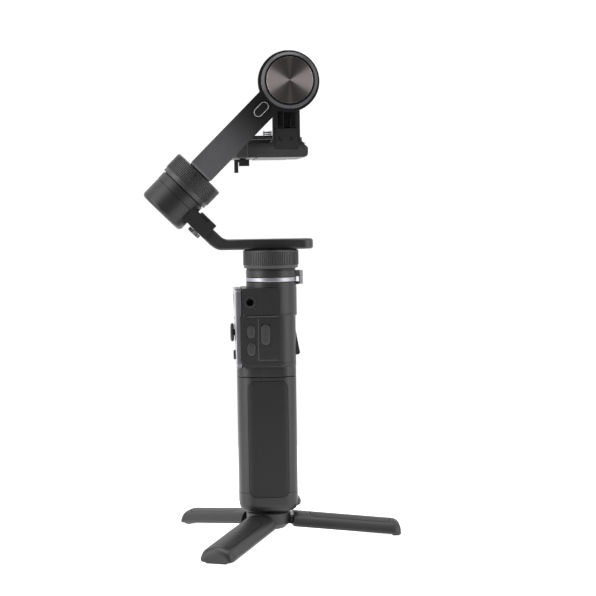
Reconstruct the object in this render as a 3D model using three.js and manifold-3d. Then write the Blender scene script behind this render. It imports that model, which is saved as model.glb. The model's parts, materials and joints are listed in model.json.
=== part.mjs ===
// Three-axis handheld camera stabiliser on its folding tabletop tripod.
// Millimetres, +Z up, +X towards the lens. The origin is the centre of the tripod hub's flat underside.
import * as THREE from 'three';
import { mergeVertices } from 'three/addons/utils/BufferGeometryUtils.js';
import Module from 'manifold-3d';

const wasm = await Module();
wasm.setup();

// ---- driving dimensions ----
const GAP = 0.3;

const HUB_R = 14.5;
const HUB_TOP = 11.2;
const FLOOR = -8.0;
const LEG_AZIMUTHS = { right: 4.8, left: 124.8, front: 244.8 };
const LEG_HINGE_R = 10.0;
const LEG_HINGE_Z = 5.0;
const LEG_SLOPE = 6.9;
const LEG_CURVE_R = 16.2;
const LEG_FLAT = 7.15;
const LEG_HALF_WIDTH = 11.5;
const LEG_START = 5.4;
const LEG_TIP = 77.9;
const TOE_START = 72.0;

const GRIP_X = 19.0;
const GRIP_Y = 17.8;
const GRIP_CORNER = 10.5;
const CAP_BOTTOM = 12.3;
const CAP_TOP = 24.7;
const GRIP_TOP = 99.9;

const HEAD_BOTTOM = 100.2;
const HEAD_REAR = -15.8;
const HEAD_FRONT = 19.3;
const HEAD_Y = 17.0;
const HEAD_STEP = 140.0;
const HEAD_SHOULDER = 157.3;
const HEAD_TOP = 160.8;
const PANEL_REAR = -20.4;

const PAN_X = 4.1;
const NECK_R = 16.3;
const NECK_BASE = 164.0;
const NECK_TOP = 169.2;
const PAN_RING_R = 18.0;
const PAN_RING_BASE = 169.8;
const PAN_RING_TOP = 181.5;

const ARM_UNDER = 181.9;
const ARM_OVER = 188.5;
const ARM_HALF_WIDTH = 10.0;
const ARM_FRONT = 31.5;

// The tilt axis (along Y) and the roll axis (45 degrees up and forward) meet here.
const P = new THREE.Vector3(12.5, 0, 285.5);
const ROLL_TILT = Math.PI / 4;
const ROLL_RING_R = 18.2;
const ROLL_R = 16.9;

const TILT_ARM_OUT = -79.0;
const TILT_ARM_IN = -72.6;
const TILT_ARM_HALF = 8.2;
const TILT_DISC_R = 18.6;
const TILT_HOUSING_R = 16.9;

const BRACKET_Z = 239.8;
const TRAY_TOP = 248.2;
const PLATE_TOP = 252.5;

// ---- materials ----
const finish = (color, roughness, metalness) =>
  new THREE.MeshStandardMaterial({ color, roughness, metalness });
const SHELL = finish(0x3b3b3d, 0.55, 0.0);
const PANEL = finish(0x2a2a2b, 0.5, 0.0);
const RUBBER = finish(0x262626, 0.85, 0.0);
const ARM = finish(0x2d2d2f, 0.5, 0.4);
const RING = finish(0x303032, 0.55, 0.3);
const CAP = finish(0x4a4146, 0.3, 1.0);
const SILVER = finish(0xc4c4cc, 0.28, 1.0);
const STEEL = finish(0x9a9a9a, 0.35, 1.0);
const COPPER = finish(0x8a4b2a, 0.4, 0.9);
const BOARD = finish(0x1c4a2c, 0.6, 0.1);
const CELL = finish(0x2f5f8f, 0.6, 0.1);
const GLASS = finish(0x08080a, 0.1, 0.0);

// ---- solid helpers ----
function solid(geometry) {
  const bare = geometry.index ? geometry.toNonIndexed() : geometry.clone();
  bare.deleteAttribute('normal');
  bare.deleteAttribute('uv');
  const merged = mergeVertices(bare, 1e-4);
  return new wasm.Manifold(new wasm.Mesh({
    numProp: 3,
    vertProperties: Float32Array.from(merged.attributes.position.array),
    triVerts: Uint32Array.from(merged.index.array),
  }));
}

function geometryOf(manifold) {
  const mesh = manifold.getMesh();
  const geometry = new THREE.BufferGeometry();
  geometry.setAttribute('position', new THREE.BufferAttribute(Float32Array.from(mesh.vertProperties), 3));
  geometry.setIndex(new THREE.BufferAttribute(Uint32Array.from(mesh.triVerts), 1));
  return geometry;
}

function box(x0, x1, y0, y1, z0, z1) {
  const geometry = new THREE.BoxGeometry(x1 - x0, y1 - y0, z1 - z0);
  geometry.translate((x0 + x1) / 2, (y0 + y1) / 2, (z0 + z1) / 2);
  return solid(geometry);
}

// Upright cylinder centred on x, y.
function post(radius, z0, z1, segments = 24, x = 0, y = 0) {
  const geometry = new THREE.CylinderGeometry(radius, radius, z1 - z0, segments);
  geometry.rotateX(Math.PI / 2);
  geometry.translate(x, y, (z0 + z1) / 2);
  return solid(geometry);
}

// Solid of revolution about Z from [radius, z] points, listed bottom to top.
function turned(points, segments = 32, x = 0, y = 0) {
  const geometry = new THREE.LatheGeometry(points.map(([r, z]) => new THREE.Vector2(r, z)), segments);
  geometry.rotateX(Math.PI / 2);
  geometry.translate(x, y, 0);
  return solid(geometry);
}

// Extrusion of a shape in XY from z0 to z1.
function prism(shape, z0, z1, curveSegments = 4) {
  const geometry = new THREE.ExtrudeGeometry(shape, { depth: z1 - z0, bevelEnabled: false, curveSegments });
  geometry.translate(0, 0, z0);
  return solid(geometry);
}

// Turns a solid whose axis is +Z so that its axis is Y: x stays, z becomes the old y, y runs from -z.
function alongY(manifold) {
  return manifold.rotate([90, 0, 0]);
}

// Turns a solid whose axis is +Z so that its axis is +X.
function alongX(manifold) {
  return manifold.rotate([0, 90, 0]);
}

function roundedRect(x0, x1, y0, y1, radius) {
  const r = Math.min(radius, (x1 - x0) / 2 - 1e-3, (y1 - y0) / 2 - 1e-3);
  const shape = new THREE.Shape();
  shape.moveTo(x0 + r, y0);
  shape.lineTo(x1 - r, y0);
  shape.absarc(x1 - r, y0 + r, r, -Math.PI / 2, 0, false);
  shape.lineTo(x1, y1 - r);
  shape.absarc(x1 - r, y1 - r, r, 0, Math.PI / 2, false);
  shape.lineTo(x0 + r, y1);
  shape.absarc(x0 + r, y1 - r, r, Math.PI / 2, Math.PI, false);
  shape.lineTo(x0, y0 + r);
  shape.absarc(x0 + r, y0 + r, r, Math.PI, Math.PI * 1.5, false);
  return shape;
}

function polygon(points) {
  const shape = new THREE.Shape();
  points.forEach(([x, y], i) => (i ? shape.lineTo(x, y) : shape.moveTo(x, y)));
  shape.closePath();
  return shape;
}

// Profile in the XZ plane extruded in Y from y0 to y1.
function slabXZ(shape, y0, y1, curveSegments = 4) {
  return alongY(prism(shape, -y1, -y0, curveSegments));
}

// Rounded plate lying against a face whose outward direction is -Y.
function sidePlate(x0, x1, z0, z1, radius, y0, y1, curveSegments = 3) {
  return slabXZ(roundedRect(x0, x1, z0, z1, radius), y0, y1, curveSegments);
}

// Cylinder along Y.
function barY(radius, x, z, y0, y1, segments = 16) {
  return alongY(post(radius, -y1, -y0, segments)).translate([x, 0, z]);
}

// Cylinder along X.
function barX(radius, y, z, x0, x1, segments = 16) {
  return alongX(post(radius, x0, x1, segments)).translate([0, y, z]);
}

const group = new THREE.Group();
group.name = 'gimbal_stabiliser';

function add(name, manifold, material) {
  const mesh = new THREE.Mesh(geometryOf(manifold), material);
  mesh.name = name;
  group.add(mesh);
  return mesh;
}

// ---- folding tripod ----
function legSection(inset = 0) {
  const w = LEG_HALF_WIDTH - inset;
  const r = LEG_CURVE_R - inset;
  const steps = 8;
  const a = Math.asin(w / r);
  const points = [[-w, LEG_FLAT + inset], [w, LEG_FLAT + inset]];
  for (let i = 0; i <= steps; i++) {
    const t = a - (2 * a * i) / steps;
    points.push([r * Math.sin(t), r * Math.cos(t)]);
  }
  return polygon(points);
}

// In the leg's own frame X runs out along the leg from the hinge, Y across it and Z up from its underside.
function legBar(u0, u1, inset = 0) {
  const bar = prism(legSection(inset), u0, u1, 4);
  return bar.rotate([90, 0, 90]).translate([0, 0, -LEG_FLAT]);
}

function legPlan(grow) {
  return prism(roundedRect(16.5 - grow, 69.8 + grow, -7.5 - grow, 7.5 + grow, 4 + grow), -1, 12, 3);
}

const HINGE_W = LEG_HINGE_R - LEG_FLAT;

function legFrame(manifold, azimuth) {
  return manifold
    .translate([0, 0, -HINGE_W])
    .rotate([0, LEG_SLOPE, 0])
    .translate([LEG_HINGE_R, 0, LEG_HINGE_Z])
    .rotate([0, 0, azimuth]);
}

const hubOutline = [[0, 0], [10.6, 0], [HUB_R, 3.4], [HUB_R, HUB_TOP - 0.8], [HUB_R - 0.8, HUB_TOP],
  [0, HUB_TOP]];
let hub = turned(hubOutline, 32);
for (const azimuth of Object.values(LEG_AZIMUTHS)) {
  const slot = box(7.1, 20, -3.8, 3.8, -1, 8.9).rotate([0, 0, azimuth]);
  const pinHole = barY(1.5, LEG_HINGE_R, LEG_HINGE_Z, -6.3, 6.3, 10).rotate([0, 0, azimuth]);
  hub = hub.subtract(slot).subtract(pinHole);
}
hub = hub.subtract(post(3.5, 4.7, 20, 14));
add('tripod_hub', hub, SHELL);
add('tripod_screw', post(3.1, 5.0, 18.6, 14), STEEL);

const tipProfile = polygon([[TOE_START, -3], [LEG_TIP, -3], [LEG_TIP, 0.8], [LEG_TIP - 0.4, 3.4],
  [LEG_TIP - 1.4, 6.0], [LEG_TIP - 3.0, 8.0], [LEG_TIP - 5.2, 9.1], [TOE_START, 9.6]]);
for (const [side, azimuth] of Object.entries(LEG_AZIMUTHS)) {
  const curved = post(LEG_CURVE_R - 1.3, 0, 100, 48).rotate([0, 90, 0]).translate([0, 0, -LEG_FLAT]);
  const lug = box(0, LEG_START + 1, -3.5, 3.5, 0.5, 5.2).add(barY(2.35, 0, HINGE_W, -3.5, 3.5, 14));
  let leg = legBar(LEG_START, TOE_START - GAP).add(lug);
  leg = leg.subtract(legPlan(GAP).subtract(curved));
  leg = leg.subtract(barY(1.5, 0, HINGE_W, -6, 6, 10));
  add(`leg_${side}`, legFrame(leg, azimuth), SHELL);

  const skin = post(LEG_CURVE_R, 0, 100, 48).rotate([0, 90, 0]).translate([0, 0, -LEG_FLAT]);
  const under = post(LEG_CURVE_R - 1.0, -1, 101, 48).rotate([0, 90, 0]).translate([0, 0, -LEG_FLAT]);
  add(`leg_${side}_pad`, legFrame(legPlan(0).intersect(skin).subtract(under), azimuth), RUBBER);

  const toeTop = legBar(TOE_START, LEG_TIP).intersect(slabXZ(tipProfile, -20, 20));
  let toe = legFrame(toeTop.add(box(TOE_START + 0.6, LEG_TIP - 0.5, -6.8, 6.8, -4, 1)), azimuth);
  toe = toe.intersect(box(-200, 200, -200, 200, FLOOR, 60));
  add(`leg_${side}_toe`, toe, RUBBER);

  const pin = barY(1.2, LEG_HINGE_R, LEG_HINGE_Z, -6, 6, 10).rotate([0, 0, azimuth]);
  add(`leg_${side}_pin`, pin, STEEL);
}

// ---- handle ----
const gripOutline = (inset) => roundedRect(-GRIP_X + inset, GRIP_X - inset, -GRIP_Y + inset, GRIP_Y - inset,
  GRIP_CORNER - inset);
let baseCap = prism(gripOutline(0), 17.0, CAP_TOP)
  .add(prism(gripOutline(0.7), 16.0, 17.1))
  .add(prism(gripOutline(1.8), 14.9, 16.1))
  .add(prism(gripOutline(3.1), 13.6, 15.0))
  .add(prism(gripOutline(4.6), CAP_BOTTOM, 13.7));
const strapLip = prism(roundedRect(4, 21.1, -13, 13, 9), 15.2, 19.6);
const screwSocket = post(3.5, 10, 18.9, 14);
baseCap = baseCap.add(strapLip).subtract(screwSocket);

const padHalf = 12.8;
const padTop = 97.4;
const padBottom = 22.2;
let grip = prism(gripOutline(0), CAP_TOP + GAP, GRIP_TOP).subtract(post(11, 0, 120, 24));
for (const side of [-1, 1]) {
  const face = side * GRIP_Y;
  const deep = [Math.min(face - side * 1.3, face + side), Math.max(face - side * 1.3, face + side)];
  const pocket = sidePlate(-padHalf - GAP, padHalf + GAP, padBottom - GAP, padTop + GAP, 5.3, ...deep);
  grip = grip.subtract(pocket);
  baseCap = baseCap.subtract(pocket);
}
add('base_cap', baseCap, SHELL);
add('grip_shell', grip, SHELL);
for (const [name, side] of [['grip_pad_right', -1], ['grip_pad_left', 1]]) {
  const face = side * GRIP_Y;
  const span = [Math.min(face, face - side * 1.0), Math.max(face, face - side * 1.0)];
  const pad = sidePlate(-padHalf, padHalf, padBottom, padTop, 5, ...span);
  add(name, pad.intersect(prism(gripOutline(0), 0, 120)), RUBBER);
}
add('battery_cell', turned([[0, 26], [9.2, 26], [9.2, 89], [3.2, 89], [3.2, 91], [0, 91]], 20), CELL);

// ---- control head ----
function headOutline(front, halfY, frontRadius) {
  const rear = 2.5;
  const shape = new THREE.Shape();
  shape.moveTo(HEAD_REAR + rear, -halfY);
  shape.lineTo(front - frontRadius, -halfY);
  shape.absarc(front - frontRadius, -halfY + frontRadius, frontRadius, -Math.PI / 2, 0, false);
  shape.lineTo(front, halfY - frontRadius);
  shape.absarc(front - frontRadius, halfY - frontRadius, frontRadius, 0, Math.PI / 2, false);
  shape.lineTo(HEAD_REAR + rear, halfY);
  shape.absarc(HEAD_REAR + rear, halfY - rear, rear, Math.PI / 2, Math.PI, false);
  shape.lineTo(HEAD_REAR, -halfY + rear);
  shape.absarc(HEAD_REAR + rear, -halfY + rear, rear, Math.PI, Math.PI * 1.5, false);
  return shape;
}

const JOY_Z = 128.2;
const POWER_Z = 113.6;
const SMALL_BUTTONS = { upper: 129.3, lower: 118.0 };
const BUTTON_X = -10.1;
const ROCKER_X = -0.85;
const ROCKER_Z = 127.3;
const DIAL_X = 0.5;
const DIAL_Z = 127.0;
const SOCKET_X = -10.6;
const SOCKET_Z = 148.3;
const TRIGGER_X = 16.4;
const TRIGGER_Z = 127.4;

let head = prism(gripOutline(0), HEAD_BOTTOM, 104.7)
  .add(prism(headOutline(HEAD_FRONT, HEAD_Y, 12.5), 104.6, HEAD_STEP))
  .add(prism(headOutline(PAN_X + 16.4, 16.4, 16.2), HEAD_STEP - 0.1, HEAD_SHOULDER))
  .add(prism(headOutline(6, HEAD_Y, 1.5), HEAD_STEP - 0.1, HEAD_SHOULDER - 1.5))
  .add(post(NECK_R, HEAD_SHOULDER - 1, HEAD_TOP, 36, PAN_X))
  .add(box(18, 21.8, -3.6, 3.6, 158.9, 160.7));
const cavity = prism(headOutline(HEAD_FRONT - 5.2, HEAD_Y - 3.4, 9), 99, 153.5)
  .intersect(box(HEAD_REAR + 3.2, 30, -30, 30, 90, 160));
head = head.subtract(cavity);
head = head.subtract(post(10.4, 150, 170, 20, PAN_X));
head = head.subtract(barX(5.6, 0, JOY_Z, -25, -10));
head = head.subtract(barX(3.1, 0, POWER_Z, -25, -10, 12));
head = head.subtract(box(11, 25, -4.8, 4.8, 111.9, 130.9));
head = head.subtract(barY(1.2, TRIGGER_X, TRIGGER_Z, -7.3, 7.3, 10));
head = head.subtract(sidePlate(-14.6, 7.6, 109.2, 138.3, 2.3, -18, -HEAD_Y + 1.5));
for (const z of Object.values(SMALL_BUTTONS)) {
  head = head.subtract(sidePlate(BUTTON_X - 2.9, BUTTON_X + 2.9, z - 4.5, z + 4.5, 2.9, -18, -12));
}
const rockerWell = sidePlate(ROCKER_X - 3.4, ROCKER_X + 3.4, ROCKER_Z - 7.4, ROCKER_Z + 7.4, 3.4, -18, -12);
head = head.subtract(rockerWell);
head = head.subtract(barY(11.7, DIAL_X, DIAL_Z, 14.2, 20, 24));
head = head.subtract(barY(2.4, DIAL_X, DIAL_Z, 10, 20, 12));
head = head.subtract(barY(4.4, SOCKET_X, SOCKET_Z, -20, -8.6, 16));
add('head_shell', head, SHELL);

// Socket for accessories: a threaded bush with an open bore.
const bush = barY(4.0, SOCKET_X, SOCKET_Z, -HEAD_Y - 0.2, -8.9, 16).subtract(
  barY(3.2, SOCKET_X, SOCKET_Z, -20, -10, 16));
add('accessory_bush', bush, STEEL);

let frontPanel = alongX(prism(roundedRect(-157.2, -105.0, -15.2, 15.2, 4), PANEL_REAR, HEAD_REAR - GAP));
frontPanel = frontPanel.subtract(barX(5.2, 0, JOY_Z, -30, 0, 20)).subtract(barX(3.5, 0, POWER_Z, -30, 0, 14));
frontPanel = frontPanel.subtract(box(-22, PANEL_REAR + 1.2, -9.3, 9.3, 137.7, 153.3));
add('front_panel', frontPanel, SILVER);
add('display_window', box(PANEL_REAR + 0.2, PANEL_REAR + 0.9, -9, 9, 138, 153), GLASS);

// The carrier rocks about Y in the head; the stick rocks about Z in the carrier.
const carrier = barX(4.6, 0, JOY_Z, -19.2, -17.6, 16).subtract(barX(2.7, 0, JOY_Z, -25, -10, 14));
add('joystick_carrier', carrier, PANEL);
const stickStem = barX(2.1, 0, JOY_Z, -21.2, -16.6, 14);
const stickCap = alongX(turned([[0, -22.7], [4.6, -22.7], [5.8, -22.2], [6.0, -21.7], [5.8, -21.4],
  [2.6, -20.9], [0, -20.9]], 20))
  .translate([0, 0, JOY_Z]);
add('joystick', stickStem.add(stickCap), RUBBER);
add('power_button', barX(3.1, 0, POWER_Z, PANEL_REAR - 0.8, -17.2, 14), PANEL);

let sidePanel = sidePlate(-14.3, 7.3, 109.5, 138.0, 2, -HEAD_Y, -HEAD_Y + 1.2);
sidePanel = sidePanel.subtract(box(-5.95, -5.65, -18, -HEAD_Y + 0.4, 100, 150));
for (const z of Object.values(SMALL_BUTTONS)) {
  sidePanel = sidePanel.subtract(sidePlate(BUTTON_X - 2.9, BUTTON_X + 2.9, z - 4.5, z + 4.5, 2.9, -18, -12));
}
sidePanel = sidePanel.subtract(rockerWell);
add('side_panel', sidePanel, PANEL);
for (const [name, z] of Object.entries(SMALL_BUTTONS)) {
  const key = sidePlate(BUTTON_X - 2.6, BUTTON_X + 2.6, z - 4.2, z + 4.2, 2.6, -HEAD_Y - 0.7, -14.6);
  add(`side_button_${name}`, key, PANEL);
}
const rockerKey = slabXZ(roundedRect(ROCKER_X - 3.0, ROCKER_X + 3.0, ROCKER_Z - 6.8, ROCKER_Z + 6.8, 3.0),
  -HEAD_Y - 0.8, -15.0, 3);
add('side_rocker', rockerKey, PANEL);

const dialSteps = 36;
const dialPoints = [];
for (let i = 0; i < dialSteps; i++) {
  const a = (i * 2 * Math.PI) / dialSteps;
  const r = i % 2 ? 11.2 : 10.6;
  dialPoints.push([r * Math.cos(a), r * Math.sin(a)]);
}
const dialWheel = slabXZ(polygon(dialPoints), 14.6, 20.2).translate([DIAL_X, 0, DIAL_Z]);
add('focus_dial', dialWheel.add(barY(2.0, DIAL_X, DIAL_Z, 12.6, 15, 12)), RUBBER);

const triggerProfile = polygon([[19.2, 129.9], [20.2, 124.5], [22.0, 114.4], [21.2, 113.3], [17.6, 112.9],
  [15.2, 114.6], [13.6, 122], [13.4, 128.4], [15.6, 130.1]]);
const trigger = slabXZ(triggerProfile, -4.4, 4.4).add(barY(0.9, TRIGGER_X, TRIGGER_Z, -7, 7, 10));
add('trigger', trigger, PANEL);
add('control_board', box(-9.6, -8.0, -11.5, 11.5, 106, 143), BOARD);

// ---- neck and pan motor ----
const ringBore = post(10.4, 100, 200, 24, PAN_X);
const silverRing = post(NECK_R + 0.05, HEAD_TOP + GAP, NECK_BASE - GAP, 36, PAN_X);
add('silver_ring', silverRing.subtract(ringBore), SILVER);
const shaftBore = post(4.4, 100, 300, 16, PAN_X);
let neck = post(NECK_R, NECK_BASE, NECK_TOP, 36, PAN_X).add(post(10, 156.6, NECK_BASE + 1, 24, PAN_X));
neck = neck.subtract(shaftBore).subtract(box(15.4, 24, -4.3, 4.3, 163, 170));
add('neck_collar', neck, SHELL);
const lockLever = box(15.8, 24.7, -4, 4, 165.2, 168.0)
  .add(box(22.3, 24.7, -4, 4, 158.9, 168.0));
add('pan_lock_lever', lockLever, ARM);
add('pan_stator', post(13.8, NECK_TOP + GAP, 178.6, 24, PAN_X).subtract(shaftBore), COPPER);

function motorRing(radius, base, top, x = 0) {
  const outline = [[radius - 1.9, base], [radius - 0.4, base], [radius, base + 0.6], [radius, top - 1.0],
    [radius - 0.9, top], [4.4, top], [4.4, top - 2.1], [radius - 1.9, top - 2.1], [radius - 1.9, base]];
  return turned(outline, 36, x);
}
add('pan_motor_ring', motorRing(PAN_RING_R, PAN_RING_BASE, PAN_RING_TOP, PAN_X), RING);
const hollow = (outer, inner, z0, z1, x = 0) =>
  post(outer, z0, z1, 18, x).subtract(post(inner, z0 - 1, z1 + 1, 12, x));
add('pan_shaft', hollow(4.0, 2.4, 158, 181.5, PAN_X), STEEL);

// ---- pan arm ----
// d runs down and forward from the roll axis, s forward and up along it; both start at P.
const fromRoll = (d, s) => [P.x + (d + s) * Math.SQRT1_2, P.z + (s - d) * Math.SQRT1_2];
const ARM_S0 = -104.7;
const ARM_S1 = -96.3;
const armProfile = polygon([
  fromRoll(17.3, ARM_S0), fromRoll(34.0, ARM_S0), fromRoll(38.2, ARM_S0 + 0.5), [-33.6, 183.6],
  [-29.6, ARM_UNDER], [ARM_FRONT, ARM_UNDER], [ARM_FRONT, ARM_OVER], [-24.6, ARM_OVER], [-27.6, 189.4],
  fromRoll(36.2, ARM_S1),
  fromRoll(17.3, ARM_S1)]);
const armPlan = prism(roundedRect(-80, ARM_FRONT, -ARM_HALF_WIDTH, ARM_HALF_WIDTH, 7.5), 150, 250, 5);
let panArm = slabXZ(armProfile, -ARM_HALF_WIDTH, ARM_HALF_WIDTH).intersect(armPlan);

// Parts along the roll axis are made upright about Z with s as height, then laid into place.
function alongRoll(manifold) {
  return manifold.rotate([0, (ROLL_TILT * 180) / Math.PI, 0]).translate([P.x, P.y, P.z]);
}
const CLAMP_D = 24.2;
const clampSlot = prism(roundedRect(12, 34.5, -2.4, 2.4, 2.4), -110, -90, 4);
panArm = panArm.subtract(alongRoll(clampSlot));
add('pan_arm', panArm, ARM);

// ---- roll motor ----
const cheeks = box(17.2, 31.4, -11.8, -10.3, -104.5, -92.9).add(box(17.2, 31.4, 10.3, 11.8, -104.5, -92.9));
let rollBracket = post(ROLL_R, -97.0, -91.1, 36).add(box(8, 31.4, -11.8, 11.8, -96.0, -92.9)).add(cheeks);
rollBracket = rollBracket.subtract(post(4.4, -120, -80, 16)).subtract(post(2.4, -99, -90, 12, CLAMP_D));
add('roll_bracket', alongRoll(rollBracket), SHELL);
const rollHousing = turned([[0, -111.9], [14.4, -111.9], [16.0, -111.1], [16.7, -109.5], [16.7, -97.3],
  [13.2, -97.3], [13.2, -108.1], [0, -108.1]], 36);
add('roll_housing', alongRoll(rollHousing), SHELL);
add('roll_stator', alongRoll(post(13.8, -90.8, -78.6, 24).subtract(post(4.4, -120, -60, 16))), COPPER);
const clampScrew = post(4.4, -107.8, -105.0, 20, CLAMP_D).add(post(2.0, -105.5, -93.9, 12, CLAMP_D));
add('arm_clamp_screw', alongRoll(clampScrew), SILVER);

add('roll_motor_ring', alongRoll(motorRing(ROLL_RING_R, -90.5, -76.0)), RING);
add('roll_shaft', alongRoll(hollow(4.0, 2.4, -104, -76.0)), STEEL);

// ---- tilt arm, modelled upright about the roll axis ----
const HALF = TILT_ARM_HALF;
const rootOutline = roundedRect(-HALF, HALF, TILT_ARM_OUT, HALF, HALF - 0.2);
const barOutline = prism(rootOutline, -75.7, -71.2)
  .add(box(-HALF, HALF, TILT_ARM_OUT, -60, -75.7, -71.2));
const filletFoot = TILT_ARM_IN - 0.1;
const filletOutline = polygon([[71.3, filletFoot], [71.3, TILT_ARM_IN + 5], [66.3, filletFoot]]);
const rootFillet = alongX(prism(filletOutline, -HALF, HALF));
let tiltArm = barOutline
  .add(box(-HALF, HALF, TILT_ARM_OUT, TILT_ARM_IN, -75.7, 0))
  .add(rootFillet)
  .add(barY(TILT_DISC_R, 0, 0, TILT_ARM_OUT, TILT_ARM_IN, 36));
const LOCK_S = -23.9;
tiltArm = tiltArm.subtract(barY(4.4, 0, 0, -90, -60, 16));
tiltArm = tiltArm.subtract(box(-2.4, 2.4, -90, TILT_ARM_OUT + 2.2, LOCK_S - 2.4, LOCK_S + 2.4));
add('tilt_arm', alongRoll(tiltArm), ARM);
const lockFace = [TILT_ARM_OUT - 1.3, TILT_ARM_OUT - GAP];
const lockKey = sidePlate(-2.75, 2.75, LOCK_S - 5.25, LOCK_S + 5.25, 2.74, ...lockFace)
  .add(box(-1.1, 1.1, TILT_ARM_OUT - 1.2, TILT_ARM_OUT + 1.8, LOCK_S - 2.0, LOCK_S + 2.0));
add('tilt_lock_slider', alongRoll(lockKey), PANEL);

// ---- tilt motor on the outside of the arm ----
const housingOutline = [[12.6, 79.3], [TILT_HOUSING_R, 79.3], [TILT_HOUSING_R, 87.2],
  [TILT_HOUSING_R - 1.2, 88.8], [14.6, 88.8], [14.6, 87.0], [12.6, 87.0], [12.6, 79.3]];
add('tilt_motor_housing', alongY(turned(housingOutline, 36)).translate([P.x, 0, P.z]), RING);
const capOutline = [[0, 87.3], [14.2, 87.3], [14.2, 89.4], [13.9, 89.8], [1.2, 90.4], [0, 90.4]];
add('tilt_motor_cap', alongY(turned(capOutline, 36)).translate([P.x, 0, P.z]), CAP);
const tiltShaft = barY(4.0, P.x, P.z, -84.0, -68.4, 16).add(barY(11.8, P.x, P.z, -86.4, -80.4, 24));
add('tilt_shaft', tiltShaft, STEEL);

// ---- camera carriage ----
const RAIL_X0 = 6.4;
const RAIL_X1 = 16.6;
const BLOCK_TOP = 257.3;
let rail = box(RAIL_X0, RAIL_X1, -72.2, -67.6, BLOCK_TOP + 0.6, P.z + 5)
  .add(barY(7.4, P.x - 1, P.z, -72.2, -67.6, 24));
rail = rail.subtract(barY(4.4, P.x, P.z, -80, -60, 16));
rail = rail.subtract(box(9.3, 13.7, -73, -71, 254, 272));
add('tilt_rail', rail, ARM);

// Upright cheeks with a back wall around the rail, standing on a long foot under the camera.
const bracketFace = new THREE.Shape();
bracketFace.moveTo(-12.8, BRACKET_Z);
bracketFace.lineTo(21.6, BRACKET_Z);
bracketFace.absarc(21.6, BRACKET_Z + 2.5, 2.5, -Math.PI / 2, 0, false);
bracketFace.lineTo(24.1, TRAY_TOP - 2.6);
bracketFace.lineTo(21.4, TRAY_TOP);
bracketFace.absarc(23.4, TRAY_TOP + 4, 4, Math.PI * 1.5, Math.PI, true);
bracketFace.lineTo(19.4, 292);
bracketFace.lineTo(2.8, 292);
bracketFace.lineTo(2.8, TRAY_TOP + 4);
bracketFace.absarc(-1.2, TRAY_TOP + 4, 4, 0, Math.PI * 1.5, true);
bracketFace.lineTo(-12.8, TRAY_TOP);
let bracket = slabXZ(bracketFace, -72.0, -63.4);
bracket = bracket.subtract(box(RAIL_X0 - 0.4, RAIL_X1 + 0.4, -73, -67.2, 246, 300));
bracket = bracket.subtract(box(2, 20, -73, -67.2, 274, 300));
bracket = bracket.subtract(box(3.9, 18.2, -73, -70.5, 244.7, BLOCK_TOP + GAP));
bracket = bracket.add(box(-6, 16, -63.6, 24, BRACKET_Z, 244.4));
add('camera_bracket', bracket, ARM);
let clampBlock = box(RAIL_X0 - 0.1, RAIL_X1 + 0.1, -71.8, -67.5, 246.3, BLOCK_TOP)
  .add(box(4.2, 17.9, -72.0, -70.8, 245.0, BLOCK_TOP));
for (const x of [6.8, 14.0]) {
  clampBlock = clampBlock.subtract(barY(1.4, x, 251.3, -73, -71.3, 12));
}
add('height_stop_block', clampBlock, SHELL);

// Tray that slides sideways on the bracket's foot; two rails on top guide the release plate fore and aft.
let tray = prism(roundedRect(-21, 23.6, -56, 20, 3), BRACKET_Z + 0.2, TRAY_TOP)
  .subtract(box(-6.4, 16.4, -70, 30, 200, 244.8));
tray = tray.add(box(-17.5, 20.1, -56, -52, TRAY_TOP - 1, 251.4));
tray = tray.add(box(-17.5, 20.1, 16, 20, TRAY_TOP - 1, 251.4));
tray = tray.subtract(post(2.4, 235, 243.2, 12, -14.6, -38));
add('camera_tray', tray, ARM);
const lever = box(-16.9, -10.6, -42, -34, 235.2, 239.4)
  .add(box(-19.9, -10.6, -42, -34, 237.6, 239.4))
  .add(box(-19.9, -17.5, -42, -34, 231.0, 239.4))
  .add(post(2.0, 239, 242.9, 12, -14.6, -38));
add('plate_lock_lever', lever, ARM);

const SCREW_X = 3;
const SCREW_Y = -2;
let plate = prism(roundedRect(-13, 22, -51.6, 15.6, 2), TRAY_TOP + GAP, PLATE_TOP);
plate = plate.subtract(post(3.5, 240, 260, 14, SCREW_X, SCREW_Y));
plate = plate.subtract(post(7.5, 240, 250.7, 20, SCREW_X, SCREW_Y));
add('quick_release_plate', plate, ARM);
const padSheet = prism(roundedRect(-11, 20, -49.6, 13.6, 2), PLATE_TOP + GAP, 253.8);
add('plate_pad', padSheet.subtract(post(5, 240, 260, 14, SCREW_X, SCREW_Y)), RUBBER);
const cameraScrew = post(7.0, TRAY_TOP + 0.6, 250.4, 20, SCREW_X, SCREW_Y)
  .add(post(3.1, 250, 258.4, 14, SCREW_X, SCREW_Y));
add('camera_screw', cameraScrew, STEEL);

export default group;
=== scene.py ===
import bmesh
import bpy
import json
import math
from mathutils import Matrix, Vector


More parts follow.
